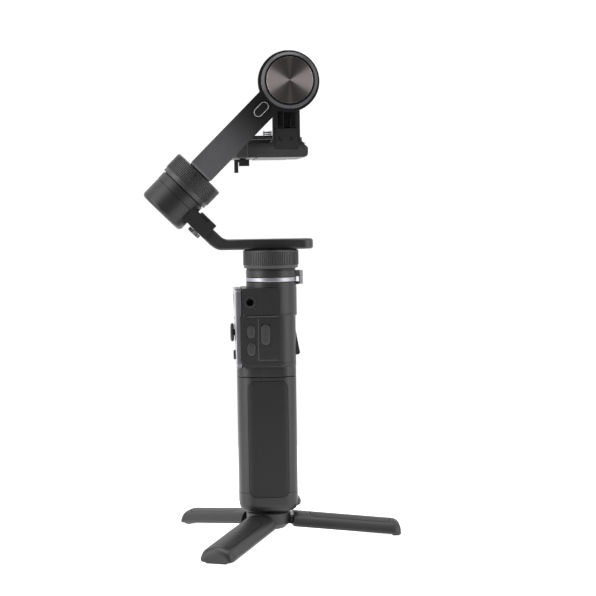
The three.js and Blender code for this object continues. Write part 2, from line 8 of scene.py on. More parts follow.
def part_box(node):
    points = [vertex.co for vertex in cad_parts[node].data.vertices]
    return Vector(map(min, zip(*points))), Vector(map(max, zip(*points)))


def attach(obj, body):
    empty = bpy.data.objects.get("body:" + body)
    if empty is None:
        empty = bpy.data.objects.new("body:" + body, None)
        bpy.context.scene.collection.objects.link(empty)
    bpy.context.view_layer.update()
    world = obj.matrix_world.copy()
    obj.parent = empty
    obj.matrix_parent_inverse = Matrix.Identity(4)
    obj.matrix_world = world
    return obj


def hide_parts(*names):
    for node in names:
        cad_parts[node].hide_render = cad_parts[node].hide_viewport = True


# Handheld three-axis camera stabilizer with its tabletop tripod open. Outlines are in millimetres in the
# frame's axes: -X is the side of the thumb panel, -Y the side with the oval buttons, and +Z is up.
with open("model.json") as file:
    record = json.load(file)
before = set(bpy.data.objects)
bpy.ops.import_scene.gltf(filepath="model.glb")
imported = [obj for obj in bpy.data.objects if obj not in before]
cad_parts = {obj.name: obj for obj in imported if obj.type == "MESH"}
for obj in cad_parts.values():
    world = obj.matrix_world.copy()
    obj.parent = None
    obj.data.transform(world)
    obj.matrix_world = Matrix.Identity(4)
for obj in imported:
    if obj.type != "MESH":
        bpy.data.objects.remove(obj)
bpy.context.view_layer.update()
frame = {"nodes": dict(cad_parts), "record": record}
MM = 0.001
NODES = frame["nodes"]
RECORD = frame["record"]
JOINTS = {j["name"]: j for j in RECORD["behaviour"]["joints"]}
BODY_OF = {n: b for b, ns in RECORD["behaviour"]["bodies"].items() for n in ns}
SLOT_OF = {s["node"]: s["material_slot"] for s in RECORD["subparts"]}

PAN_X = JOINTS["pan"]["pos_m"][0] / MM
PIVOT = Vector(JOINTS["tilt"]["pos_m"]) / MM
ROLL = Matrix.Translation(PIVOT) @ Matrix.Rotation(math.radians(45), 4, "Y")
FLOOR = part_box("leg_front_toe")[0][2] / MM


# ---------------------------------------------------------------- materials
MIX_A, MIX_B, MIX_RESULT = 6, 7, 2  # the colour sockets of a Mix node


def shader(name):
    mat = bpy.data.materials.new(name)
    mat.use_nodes = True
    tree = mat.node_tree
    return mat, tree, tree.nodes["Principled BSDF"]


def node(tree, kind, **values):
    """New node; each value sets a property or, with spaces for underscores, an input."""
    n = tree.nodes.new(kind)
    for key, value in values.items():
        if hasattr(n, key):
            setattr(n, key, value)
        else:
            n.inputs[key.replace("_", " ")].default_value = value
    return n


def mottled(tree, bsdf, color, spread, rough):
    """Slow, slight drift of colour and gloss, as on moulded or coated parts."""
    drift_scale, rough_spread = 60.0, 0.05
    coord = node(tree, "ShaderNodeTexCoord")
    noise = node(tree, "ShaderNodeTexNoise", Scale=drift_scale, Detail=4.0, Roughness=0.6)
    tree.links.new(coord.outputs["Object"], noise.inputs["Vector"])
    ramp = node(tree, "ShaderNodeValToRGB")
    low, high = ramp.color_ramp.elements
    low.position, high.position = 0.3, 0.7
    low.color = [c * (1 - spread) for c in color] + [1]
    high.color = [c * (1 + spread) for c in color] + [1]
    tree.links.new(noise.outputs["Fac"], ramp.inputs["Fac"])
    tree.links.new(ramp.outputs["Color"], bsdf.inputs["Base Color"])
    gloss = node(tree, "ShaderNodeMapRange", To_Min=rough - rough_spread, To_Max=rough + rough_spread)
    tree.links.new(noise.outputs["Fac"], gloss.inputs["Value"])
    tree.links.new(gloss.outputs["Result"], bsdf.inputs["Roughness"])
    return coord


def grained(tree, bsdf, coord, grain_mm, depth_mm, strength):
    """Fine surface grain as a bump."""
    fine = node(tree, "ShaderNodeTexNoise", Scale=1000.0 / grain_mm, Detail=2.0, Roughness=0.5)
    tree.links.new(coord.outputs["Object"], fine.inputs["Vector"])
    bump = node(tree, "ShaderNodeBump", Strength=strength, Distance=depth_mm * MM)
    tree.links.new(fine.outputs["Fac"], bump.inputs["Height"])
    tree.links.new(bump.outputs["Normal"], bsdf.inputs["Normal"])


def coated(name, color, rough, grain, depth, metallic=0.0, spread=0.08, strength=0.4, shine=0.5):
    mat, tree, bsdf = shader(name)
    bsdf.inputs["Metallic"].default_value = metallic
    bsdf.inputs["Specular IOR Level"].default_value = shine
    coord = mottled(tree, bsdf, color, spread, rough)
    grained(tree, bsdf, coord, grain, depth, strength)
    return mat


# Painted highlight of a turned disc: the level of its colour around one turn, as (share of the turn, level):
# bright to both sides, with a narrow painted glint at the top and at the bottom.
PAINTED_SHEEN = ((0.0, 1.0), (0.07, 0.95), (0.11, 0.22), (0.22, 0.13), (0.25, 0.32), (0.28, 0.13), (0.39, 0.17),
         (0.43, 0.95), (0.5, 1.0), (0.57, 0.95), (0.61, 0.17), (0.72, 0.11), (0.75, 0.32), (0.78, 0.11),
         (0.89, 0.22), (0.93, 0.95), (1.0, 1.0))


def spun(name, color, rough):
    """Metal turned on a lathe: fine rings about the piece's own Z axis, and a painted highlight, set in the
    colour by the angle about that axis, in place of the sheen that the rings give.
    """
    ring_scale, ring_tint, ring_depth_mm = 5200.0, 0.2, 0.004
    mat, tree, bsdf = shader(name)
    bsdf.inputs["Metallic"].default_value = 1.0
    bsdf.inputs["Roughness"].default_value = rough
    coord = node(tree, "ShaderNodeTexCoord")
    split = node(tree, "ShaderNodeSeparateXYZ")
    tree.links.new(coord.outputs["Object"], split.inputs["Vector"])
    angle = node(tree, "ShaderNodeMath", operation="ARCTAN2")
    tree.links.new(split.outputs["Y"], angle.inputs[0])
    tree.links.new(split.outputs["X"], angle.inputs[1])
    turns = node(tree, "ShaderNodeMapRange", From_Min=-math.pi, From_Max=math.pi)
    tree.links.new(angle.outputs[0], turns.inputs["Value"])
    # Painted highlight: the colour is brightened and darkened by the angle about Z.
    painted_sheen = node(tree, "ShaderNodeValToRGB")
    painted_sheen.color_ramp.interpolation = "B_SPLINE"
    while len(painted_sheen.color_ramp.elements) < len(PAINTED_SHEEN):
        painted_sheen.color_ramp.elements.new(0.5)
    for element, (place, level) in zip(painted_sheen.color_ramp.elements, PAINTED_SHEEN):
        element.position = place
        element.color = [c * level for c in color] + [1]
    tree.links.new(turns.outputs["Result"], painted_sheen.inputs["Fac"])
    flat = node(tree, "ShaderNodeCombineXYZ")
    tree.links.new(split.outputs["X"], flat.inputs["X"])
    tree.links.new(split.outputs["Y"], flat.inputs["Y"])
    radius = node(tree, "ShaderNodeVectorMath", operation="LENGTH")
    tree.links.new(flat.outputs["Vector"], radius.inputs[0])
    ring = node(tree, "ShaderNodeTexNoise", noise_dimensions="1D", Scale=ring_scale, Detail=3.0)
    tree.links.new(radius.outputs["Value"], ring.inputs["W"])
    tint = node(tree, "ShaderNodeMix", data_type="RGBA", blend_type="MULTIPLY")
    tint.inputs["Factor"].default_value = ring_tint
    tree.links.new(painted_sheen.outputs["Color"], tint.inputs[MIX_A])
    tree.links.new(ring.outputs["Fac"], tint.inputs[MIX_B])
    tree.links.new(tint.outputs[MIX_RESULT], bsdf.inputs["Base Color"])
    bump = node(tree, "ShaderNodeBump", Strength=0.10, Distance=ring_depth_mm * MM)
    tree.links.new(ring.outputs["Fac"], bump.inputs["Height"])
    tree.links.new(bump.outputs["Normal"], bsdf.inputs["Normal"])
    return mat


def graded(mat, direction, start, end, low):
    """Fades a coated colour to low times itself between two places (millimetres) along a direction."""
    tree = mat.node_tree
    base = tree.nodes["Principled BSDF"].inputs["Base Color"]
    coord = node(tree, "ShaderNodeTexCoord")
    along = node(tree, "ShaderNodeVectorMath", operation="DOT_PRODUCT")
    along.inputs[1].default_value = direction
    tree.links.new(coord.outputs["Object"], along.inputs[0])
    fade = node(tree, "ShaderNodeMapRange", interpolation_type="SMOOTHSTEP", From_Min=start * MM,
                From_Max=end * MM, To_Min=1.0, To_Max=low)
    tree.links.new(along.outputs["Value"], fade.inputs["Value"])
    mix = node(tree, "ShaderNodeMix", data_type="RGBA", blend_type="MULTIPLY")
    mix.inputs["Factor"].default_value = 1.0
    tree.links.new(base.links[0].from_socket, mix.inputs[MIX_A])
    tree.links.new(fade.outputs["Result"], mix.inputs[MIX_B])
    tree.links.new(mix.outputs[MIX_RESULT], base)
    return mat


ALONG_ARM = Vector((math.sqrt(0.5), 0, math.sqrt(0.5)))
ARM_END = ALONG_ARM.dot(PIVOT)

MATS = {
    "shell": coated("shell_plastic", (0.0140, 0.0140, 0.0148), 0.40, 0.45, 0.014, shine=0.42),
    "panel": coated("panel_plastic", (0.0085, 0.0085, 0.0090), 0.42, 0.4, 0.006),
    "rubber": coated("soft_rubber", (0.0070, 0.0070, 0.0072), 0.46, 0.6, 0.035, strength=0.6, shine=0.35),
    "leg_pad": coated("leg_pad_rubber", (0.0130, 0.0130, 0.0134), 0.48, 0.6, 0.03, strength=0.6, shine=0.4),
    "arm": coated("arm_coating", (0.0220, 0.0220, 0.0232), 0.38, 0.4, 0.006, metallic=0.15),
    "ring": coated("ring_anodised", (0.0420, 0.0420, 0.0440), 0.38, 0.6, 0.003, metallic=0.25),
    # The cap's colour carries a painted highlight, bright to both sides.
    "cap": spun("cap_spun_painted_sheen", (0.86, 0.75, 0.75), 0.42),
    "silver": coated("silver_satin", (0.37, 0.36, 0.395), 0.40, 0.5, 0.003, metallic=0.9, spread=0.04),
    "steel": coated("steel_plain", (0.30, 0.30, 0.31), 0.36, 0.5, 0.004, metallic=1.0, spread=0.06),
    "stator": coated("stator_copper", (0.25, 0.09, 0.04), 0.4, 0.5, 0.03, metallic=0.9, spread=0.15),
    "board": coated("board_green", (0.012, 0.07, 0.026), 0.5, 0.8, 0.02, spread=0.2),
    "cell": coated("cell_wrap", (0.03, 0.11, 0.27), 0.4, 0.8, 0.01, spread=0.1),
    "glass": coated("window_glass", (0.004, 0.004, 0.005), 0.08, 1.0, 0.0005, spread=0.1),
    "pale": coated("pale_enamel", (0.42, 0.42, 0.42), 0.5, 0.4, 0.003, spread=0.03),
    "bright": coated("trim_polished", (0.50, 0.49, 0.515), 0.38, 0.5, 0.002, metallic=0.9, spread=0.03),
    "violet": coated("panel_anodised", (0.170, 0.165, 0.185), 0.40, 0.5, 0.004, metallic=0.5),
    "key": coated("key_rubber", (0.020, 0.020, 0.021), 0.52, 0.5, 0.01),
    "ridge": coated("ridge_painted_highlight", (0.060, 0.060, 0.062), 0.45, 0.4, 0.004),
    "knob": coated("knob_metal", (0.20, 0.20, 0.205), 0.40, 0.5, 0.004, metallic=0.8),
    # The lever keeps its full light grey only at its outer end and is darkened elsewhere: a painted highlight
    # on the end of its tab.
    "lever": graded(coated("lever_metal", (0.58, 0.58, 0.60), 0.42, 0.5, 0.004, metallic=0.8),
                    (-1, 0, 0), -22.9, -22.1, 0.22),
    "bracket": graded(coated("bracket_coating", (0.046, 0.046, 0.048), 0.40, 0.4, 0.006, metallic=0.15),
                      (0, 0, 1), 244.5, 248.5, 0.48),
    "rim": coated("rim_anodised", (0.039, 0.040, 0.043), 0.36, 0.6, 0.003, metallic=0.5),
    "tray": coated("tray_coating", (0.030, 0.030, 0.032), 0.40, 0.4, 0.006, metallic=0.3),
    # The tilt arm's colour is darkened towards its upper end by the pivot: painted shade.
    "bar": graded(coated("bar_coat_painted_shade", (0.085, 0.085, 0.089), 0.36, 0.4, 0.006, metallic=0.2),
                  ALONG_ARM, ARM_END - 60, ARM_END - 26, 0.16),
    "rail": coated("rail_black", (0.005, 0.005, 0.005), 0.30, 0.4, 0.004, metallic=0.1),
    "dark": coated("gap_shadow_black", (0.004, 0.004, 0.004), 0.7, 0.5, 0.004),
}


# ---------------------------------------------------------------- shape tools (millimetres)
# A shape drawn lying flat is stood up by SIDE, so that its top faces -Y, or by REAR, so that it faces -X.
SIDE = Matrix(((1, 0, 0, 0), (0, 0, -1, 0), (0, 1, 0, 0), (0, 0, 0, 1)))
REAR = Matrix(((0, 0, -1, 0), (-1, 0, 0, 0), (0, 1, 0, 0), (0, 0, 0, 1)))
TILT = Matrix.Translation(PIVOT) @ SIDE
PAN = Matrix.Translation((PAN_X, 0, 0))


def at(x, y, z):
    return Matrix.Translation((x, y, z))


def finish_piece(name, bm, mat, body, slot, nodes=(), matrix=None, place=None, sharp=40.0):
    """Turns a mesh in millimetres into a piece. matrix moves the points; place moves the object."""
    if matrix is not None:
        bmesh.ops.transform(bm, matrix=matrix, verts=bm.verts)
    bmesh.ops.scale(bm, vec=(MM, MM, MM), verts=bm.verts)
    bmesh.ops.recalc_face_normals(bm, faces=bm.faces)
    for f in bm.faces:
        f.smooth = True
    for e in bm.edges:
        e.smooth = not (e.is_manifold and e.calc_face_angle() > math.radians(sharp))
    mesh = bpy.data.meshes.new(name)
    bm.to_mesh(mesh)
    bm.free()
    obj = bpy.data.objects.new(name, mesh)
    bpy.context.scene.collection.objects.link(obj)
    if place is not None:
        placed = place.copy()
        placed.translation *= MM
        obj.matrix_world = placed
    mesh.materials.append(mat)
    mod = obj.modifiers.new("normals", "WEIGHTED_NORMAL")
    mod.keep_sharp = True
    mod.weight = 80
    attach(obj, body)
    if nodes:
        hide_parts(*nodes)


REBUILT = set()


def stand_for(name, bm, mat=None, **where):
    """A finer piece in place of one CAD node."""
    REBUILT.add(name)
    slot = SLOT_OF[name]
    finish_piece(name + "_fine", bm, mat or MATS[slot], BODY_OF[name], slot, [name], **where)


def extra(name, bm, mat, beside, **where):
    """A detail that has no CAD node of its own; it rides with the node beside it."""
    finish_piece(name, bm, MATS[mat], BODY_OF[beside], SLOT_OF[beside], **where)


def clean(bm):
    weld = 0.002
    bmesh.ops.remove_doubles(bm, verts=bm.verts, dist=weld)
    bmesh.ops.dissolve_degenerate(bm, edges=bm.edges, dist=weld)
    return bm


def soften(bm, width, segments=3, angle=40.0):
    """Rounds every edge that turns by more than angle."""
    edges = [e for e in bm.edges if e.is_manifold and e.calc_face_angle() > math.radians(angle)]
    bmesh.ops.bevel(bm, geom=edges, offset=width, offset_type="OFFSET", segments=segments, profile=0.5,
                    affect="EDGES", clamp_overlap=True)
    return bm


def moved(bm, matrix):
    bmesh.ops.transform(bm, matrix=matrix, verts=bm.verts)
    return bm


def temp_object(bm):
    bmesh.ops.recalc_face_normals(bm, faces=bm.faces)
    mesh = bpy.data.meshes.new("tool")
    bm.to_mesh(mesh)
    bm.free()
    obj = bpy.data.objects.new("tool", mesh)
    bpy.context.scene.collection.objects.link(obj)
    return obj


def carve(bm, *steps):
    """Applies (operation, mesh) pairs in turn and gives back the result."""
    base = temp_object(bm)
    tools = []
    for operation, other in steps:
        tool = temp_object(other)
        mod = base.modifiers.new("carve", "BOOLEAN")
        mod.operation = operation
        mod.object = tool
        mod.solver = "EXACT"
        tools.append(tool)
    bpy.context.view_layer.update()
    result = bmesh.new()
    result.from_object(base, bpy.context.evaluated_depsgraph_get())
    for obj in [base, *tools]:
        mesh = obj.data
        bpy.data.objects.remove(obj)
        bpy.data.meshes.remove(mesh)
    clean(result)
    bmesh.ops.dissolve_limit(result, angle_limit=math.radians(0.3), verts=result.verts, edges=result.edges)
    return result


def sliced(bm, point, normal):
    """Cuts away what lies beyond a plane and closes the cut."""
    bmesh.ops.bisect_plane(bm, geom=[*bm.verts, *bm.edges, *bm.faces], plane_co=point, plane_no=normal,
                           clear_outer=True)
    bmesh.ops.holes_fill(bm, edges=[e for e in bm.edges if e.is_boundary])
    return bm


def arc(cx, cy, r, a0, a1, steps):
    return [(cx + r * math.cos(math.radians(a0 + (a1 - a0) * i / steps)),
             cy + r * math.sin(math.radians(a0 + (a1 - a0) * i / steps))) for i in range(steps + 1)]


def circle(radius, segments, x=0.0, y=0.0):
    turn = 2 * math.pi / segments
    return [(x + radius * math.cos(turn * i), y + radius * math.sin(turn * i)) for i in range(segments)]


def rounded_rect(x0, x1, y0, y1, r, steps=10):
    r = min(r, (x1 - x0) / 2 - 1e-3, (y1 - y0) / 2 - 1e-3)
    return (arc(x1 - r, y0 + r, r, -90, 0, steps) + arc(x1 - r, y1 - r, r, 0, 90, steps)
            + arc(x0 + r, y1 - r, r, 90, 180, steps) + arc(x0 + r, y0 + r, r, 180, 270, steps))


def loft(rings, wrap=False):
    """Closed skin over rings of points of equal count; wrap joins the last ring to the first."""
    bm = bmesh.new()
    rows = [[bm.verts.new(p) for p in ring] for ring in rings]
    n = len(rows[0])
    for a, b in zip(rows, rows[1:] + (rows[:1] if wrap else [])):
        for i in range(n):
            bm.faces.new((a[i], a[(i + 1) % n], b[(i + 1) % n], b[i]))
    if not wrap:
        bm.faces.new(list(reversed(rows[0])))
        bm.faces.new(rows[-1])
    return bm


def stack(outline, levels):
    """Lofts outline(inset) through (inset, height) levels."""
    return loft([[(x, y, z) for x, y in outline(inset)] for inset, z in levels])


def edge_levels(z0, z1, e0, e1, steps=4):
    """Levels of a block whose lower and upper edges are rounded by e0 and e1."""
    turns = [math.pi / 2 * i / steps for i in range(steps + 1)]
    low = [(e0 * (1 - math.sin(t)), z0 + e0 * (1 - math.cos(t))) for t in turns] if e0 else [(0, z0)]
    high = [(e1 * (1 - math.cos(t)), z1 - e1 * (1 - math.sin(t))) for t in turns] if e1 else [(0, z1)]
    return low + high


def block(x0, x1, y0, y1, r, z0, z1, e0=0.0, e1=0.0, crown=0.0, steps=10):
    """Rounded plate with rounded edges and, if crown is set, a gently domed top."""
    levels = edge_levels(z0, z1, e0, e1)
    if crown:
        half = min(x1 - x0, y1 - y0) / 2 - e1 - 0.05
        levels += [(e1 + half * k, z1 + crown * (1 - (1 - k) ** 2)) for k in (0.25, 0.5, 0.75, 0.96)]
    return stack(lambda i: rounded_rect(x0 + i, x1 - i, y0 + i, y1 - i, max(r - i, 0.05), steps), levels)


def fillet(points, radii, steps=4):
    """Rounds corners of a closed outline; radii maps the index of a corner to its radius."""
    out = []
    n = len(points)
    for i, p in enumerate(points):
        r = radii.get(i, 0)
        if not r:
            out.append(p)
            continue
        a, b, c = Vector(points[i - 1]), Vector(p), Vector(points[(i + 1) % n])
        u, v = (a - b).normalized(), (c - b).normalized()
        half = math.acos(max(-1, min(1, u.dot(v)))) / 2
        reach = min(r / math.tan(half), (a - b).length * 0.49, (c - b).length * 0.49)
        rr = reach * math.tan(half)
        centre = b + (u + v).normalized() * (rr / math.sin(half))
        start, end = b + u * reach - centre, b + v * reach - centre
        turn = start.angle_signed(end)
        for k in range(steps + 1):
            t = -turn * k / steps
            out.append((centre.x + start.x * math.cos(t) - start.y * math.sin(t),
                        centre.y + start.x * math.sin(t) + start.y * math.cos(t)))
    return out


def lathe(profile, segments=96, bite=None):
    """Solid of revolution about Z from a closed (r, z) profile. bite(row, i) shrinks the radius at step i."""
    rings = []
    for row, (r, z) in enumerate(profile):
        ring = []
        for i in range(segments):
            a = 2 * math.pi * i / segments
            rr = max(r - (bite(row, i) if bite else 0), 0)
            ring.append((rr * math.cos(a), rr * math.sin(a), z))
        rings.append(ring)
    return clean(loft(rings, wrap=True))


def rod(radius, z0, z1, segments=48, x=0.0, y=0.0):
    return loft([[(px, py, z) for px, py in circle(radius, segments, x, y)] for z in (z0, z1)])


def cuboid(x0, x1, y0, y1, z0, z1):
    corners = [(x0, y0), (x1, y0), (x1, y1), (x0, y1)]
    return loft([[(x, y, z) for x, y in corners] for z in (z0, z1)])


def refine(name, bevel, mat=None, steps=()):
    """The CAD node again, with any finer solids worked in and its hard edges rounded over."""
    bm = bmesh.new()
    bm.from_mesh(NODES[name].data)
    bmesh.ops.scale(bm, vec=(1 / MM, 1 / MM, 1 / MM), verts=bm.verts)
    bmesh.ops.remove_doubles(bm, verts=bm.verts, dist=0.004)
    bmesh.ops.dissolve_limit(bm, angle_limit=math.radians(0.7), verts=bm.verts, edges=bm.edges)
    if steps:
        bm = carve(bm, *steps)
    stand_for(name, soften(bm, bevel, angle=32.0), mat)


def slab(outline, y0, y1):
    """Prism of an (x, z) outline from y0 to y1."""
    return loft([[(x, y, z) for x, z in outline] for y in (y0, y1)])


def cut(*solids):
    """Steps for carve that take the solids away."""
    return [("DIFFERENCE", solid) for solid in solids]


def join(*solids):
    """Steps for carve that add the solids."""
    return [("UNION", solid) for solid in solids]


def bar_y(radius, x, z, y0, y1, segments=48):
    """Cylinder along Y from y0 to y1."""
    return moved(rod(radius, -y1, -y0, segments), at(x, 0, z) @ SIDE)


def bar_x(radius, z, x0, x1):
    """Cylinder along X from x0 to x1, in the middle plane."""
    return moved(rod(radius, -x1, -x0), at(0, 0, z) @ REAR)


def side_block(x0, x1, z0, z1, r, y0, y1):
    """Block with its corners rounded in the XZ plane, from y0 to y1."""
    return moved(block(x0, x1, z0, z1, r, -y1, -y0), SIDE)


def screw_head(radius, height, socket):
    """Small socket-head screw standing on z = 0."""
    head = lathe(fillet([(0, 0), (radius, 0), (radius, height), (0, height)], {2: 0.15}, 3), 40)
    return carve(head, *cut(rod(socket, height * 0.35, height + 1, 6)))


# ---------------------------------------------------------------- grip and base
GRIP_X, GRIP_Y, GRIP_CORNER = 19.0, 17.8, 10.5
FOOT_Z, FOOT_ROUND, FOOT_TUCK = 12.3, 5.4, 5.0
SEAM_Z, GRIP_TOP = 24.9, 100.0
PAD_X, PAD_Z0, PAD_Z1, PAD_CORNER = 12.8, 22.2, 97.4, 5.0
SIDES = (("right", Matrix()), ("left", Matrix.Rotation(math.pi, 4, "Z")))


def grip_outline(inset):
    x, y = GRIP_X - inset, GRIP_Y - inset
    return rounded_rect(-x, x, -y, y, GRIP_CORNER - inset, 14)


def pad_plate(grow, w0, w1):
    x = PAD_X + grow
    return block(-x, x, PAD_Z0 - grow, PAD_Z1 + grow, PAD_CORNER + grow, w0, w1)


def pad_pockets():
    """Steps for carve that sink both grip pads, with a fine gap around them."""
    return cut(*[moved(pad_plate(0.22, 16.2, 20), turn @ SIDE) for _, turn in SIDES])


quarter = [math.pi / 2 * i / 9 for i in range(10)]
taper = [(FOOT_TUCK * (1 - math.sin(t)), FOOT_Z + FOOT_ROUND * (1 - math.cos(t))) for t in quarter]
foot = stack(grip_outline, taper + [(0, SEAM_Z - 0.2), (0.06, SEAM_Z - 0.06), (0.2, SEAM_Z - 0.02)])
strap_lip = block(4, 21.1, -13, 13, 9, 15.2, 19.6, 1.6, 1.6, steps=16)
stand_for("base_cap", carve(foot, *join(strap_lip), *cut(rod(3.5, 10, 18.9)), *pad_pockets()))

grip = stack(grip_outline, [(0.2, SEAM_Z + 0.08), (0.06, SEAM_Z + 0.12), (0, SEAM_Z + 0.24),
                            (0, GRIP_TOP - 0.5), (0.12, GRIP_TOP - 0.2), (0.4, GRIP_TOP - 0.1)])
stand_for("grip_shell", carve(grip, *cut(rod(11, 0, 120)), *pad_pockets()))

for side, turn in SIDES:
    flush = stack(grip_outline, [(0.06, 10), (0.06, 110)])
    pad = carve(moved(pad_plate(0, 16.35, 20), turn @ SIDE), ("INTERSECT", flush))
    stand_for("grip_pad_" + side, soften(pad, 0.3, 2))

# ---------------------------------------------------------------- control head
HEAD_REAR, HEAD_FRONT, HEAD_Y, REAR_ROUND = -15.8, 19.3, 17.0, 2.5
HEAD_STEP, POST_Z = 140.0, 157.3
STICK_Z, POWER_Z = 128.2, 113.6
KEY_X, KEY_ZS = -10.1, (129.3, 118.0)
BUSH_X, BUSH_Z = -10.6, 148.3
DIAL_X, DIAL_Z = 0.5, 127.0
TRIGGER_X, TRIGGER_Z = 16.4, 127.4


def head_outline(front, half, radius, inset):
    """D-shaped outline: large corners on the trigger's side, small ones beside the thumb panel."""
    x0, x1, h = HEAD_REAR + inset, front - inset, half - inset
    rear, radius = REAR_ROUND - min(inset, 2.0), radius - inset
    nose, tail = x1 - radius, x0 + rear
    return (arc(nose, -h + radius, radius, -90, 0, 20) + arc(nose, h - radius, radius, 0, 90, 20)
            + arc(tail, h - rear, rear, 90, 180, 8) + arc(tail, -h + rear, rear, 180, 270, 8))


flange = stack(grip_outline, [(0.5, GRIP_TOP + 0.2), (0.15, GRIP_TOP + 0.3), (0, GRIP_TOP + 0.5),
                              (0, 104.9), (0.4, 106.6), (1.2, 107.4)])
lower = stack(lambda i: head_outline(HEAD_FRONT, HEAD_Y, 12.5, i),
              [(0.9, 104.2), (0.35, 104.9), (0, 106.2), (0, 106.4), (0.2, 106.5), (0.2, 106.62), (0, 106.72),
               (0, 108.9), (0.15, 109.0), (0.15, 109.1), (0, 109.2), (0, HEAD_STEP - 0.7),
               (0.1, HEAD_STEP - 0.35), (0.35, HEAD_STEP - 0.1)])
upper = stack(lambda i: head_outline(PAN_X + 16.4, 16.4, 16.2, i),
              [(0, HEAD_STEP - 1), (0, POST_Z - 0.5), (0.3, POST_Z)])
lobe = slab(rounded_rect(HEAD_REAR, 8.5, HEAD_STEP + 0.15, POST_Z, 2.4, 8), -HEAD_Y, HEAD_Y)
soften(lobe, 0.45, 3, 60)
cheek_x0, cheek_x1, cheek_z0, cheek_z1 = HEAD_REAR - 1.2, 2.0, 105.2, 139.4
cheek = fillet([(cheek_x0, cheek_z0), (cheek_x1, cheek_z0), (cheek_x1, cheek_z1), (cheek_x0, cheek_z1)],
               {0: 6.5, 3: 0.8}, 8)
cheeks = [soften(slab(cheek, y - 0.75, y + 0.75), 0.3, 2, 60) for y in (-16.2, 16.2)]
pan_post = moved(lathe(fillet([(0, 156), (16.3, 156), (16.3, 160.8), (0, 160.8)], {2: 0.2}), 128), PAN)
lever_lug = cuboid(18, 21.8, -3.6, 3.6, 158.9, 160.7)
cavity = sliced(stack(lambda i: head_outline(HEAD_FRONT - 5.2, HEAD_Y - 3.4, 9, i), [(0, 99), (0, 153.5)]),
                (HEAD_REAR + 3.2, 0, 0), (-1, 0, 0))
panel_seat = side_block(-14.4, 7.4, 109.4, 138.1, 2.1, -18, -HEAD_Y + 1.5)
trigger_slot = cuboid(11, 25, -4.8, 4.8, 111.9, 130.9)
cuts = cut(cavity, rod(10.4, 150, 170, 48, PAN_X),
           bar_x(5.6, STICK_Z, -25, -10), bar_x(3.3, POWER_Z, -25, -10), trigger_slot,
           bar_y(1.2, TRIGGER_X, TRIGGER_Z, -7.3, 7.3), panel_seat,
           bar_y(11.7, DIAL_X, DIAL_Z, 14.2, 20), bar_y(2.4, DIAL_X, DIAL_Z, 10, 20),
           bar_y(4.4, BUSH_X, BUSH_Z, -20, -8.6), side_block(-4.25, 2.55, 119.9, 134.7, 3.4, -18, -12),
           *[side_block(KEY_X - 2.9, KEY_X + 2.9, z - 4.5, z + 4.5, 2.9, -18, -12) for z in KEY_ZS])
head = carve(flange, *join(lower, upper, lobe, pan_post, lever_lug, *cheeks), *cuts)
stand_for("head_shell", head, sharp=35)

panel = block(-14.3, 7.3, 109.5, 138.0, 2, 15.8, HEAD_Y, 0, 0.12)
wells = [block(KEY_X - 2.75, KEY_X + 2.75, z - 4.35, z + 4.35, 2.75, 14, 19) for z in KEY_ZS]
wells += [block(-4.0, 2.3, 120.35, 134.25, 3.15, 14, 19), block(-3.95, 2.25, 132.6, 134.25, 0.8, 16.2, 19)]
stand_for("side_panel", carve(panel, *cut(*wells)), matrix=SIDE)

# The thumb panel: a flat plate, and on it a polished trim that is domed across and rises towards the top.
PANEL_Y, PANEL_Z0, PANEL_Z1, TRIM_W = 15.2, 105.0, 157.2, 19.1


def dome(z, top, sag):
    edge = PANEL_Y + 0.8
    crown = [(y, z, top - sag * (y / PANEL_Y) ** 2) for y in range(-16, 17)]
    return [(-edge, z, TRIM_W), *crown, (edge, z, TRIM_W)]


def panel_holes(stick_well):
    return cut(rod(stick_well, 0, 40, 64, 0, STICK_Z), rod(3.5, 0, 40, 48, 0, POWER_Z),
               block(-9.3, 9.3, 137.7, 153.3, 0.8, 19.2, 22))


plate = block(-PANEL_Y, PANEL_Y, PANEL_Z0, PANEL_Z1, 4, 16.1, TRIM_W - 0.1, 0.2, 0.15)
trim = carve(block(-PANEL_Y, PANEL_Y, PANEL_Z0, PANEL_Z1, 4, TRIM_W, 21, 0.1, 0),
             ("INTERSECT", loft([dome(104, 19.6, 0.3), dome(158, 21.0, 1.2)])))
soften(trim, 0.35, 2, 50)
stand_for("front_panel", carve(plate, *panel_holes(5.2)), MATS["violet"], matrix=REAR)
extra("front_panel_trim", carve(trim, *panel_holes(6.8)), "bright", "front_panel", matrix=REAR)

# Thin raised lines in a colour lighter than the shell, standing for the light caught along these edges: a
# painted highlight.
RIDGE_W0, RIDGE_W1 = HEAD_Y - 0.1, HEAD_Y + 0.08
ridges = carve(cuboid(-5.7, -5.3, 110.8, 138.0, RIDGE_W0, RIDGE_W1),
               *join(cuboid(-5.7, 7.2, 110.8, 111.15, RIDGE_W0, RIDGE_W1)))
extra("side_panel_ridges", ridges, "ridge", "side_panel", matrix=SIDE)
head_ridge = block(-12.6, 7.0, 138.8, 139.2, 0.19, RIDGE_W0, RIDGE_W1, 0, 0.08)
extra("head_side_ridge", head_ridge, "ridge", "head_shell", matrix=SIDE)

# ---------------------------------------------------------------- motors
RIBS = 86
LAND = (0, 0, 0, 0.85, 1, 0.85)  # share of the groove's depth at each step across one rib and its groove
GROOVE = 0.42
RIB_ROWS = (8, 9)
BORE = 4.4  # hole for each motor's hollow shaft


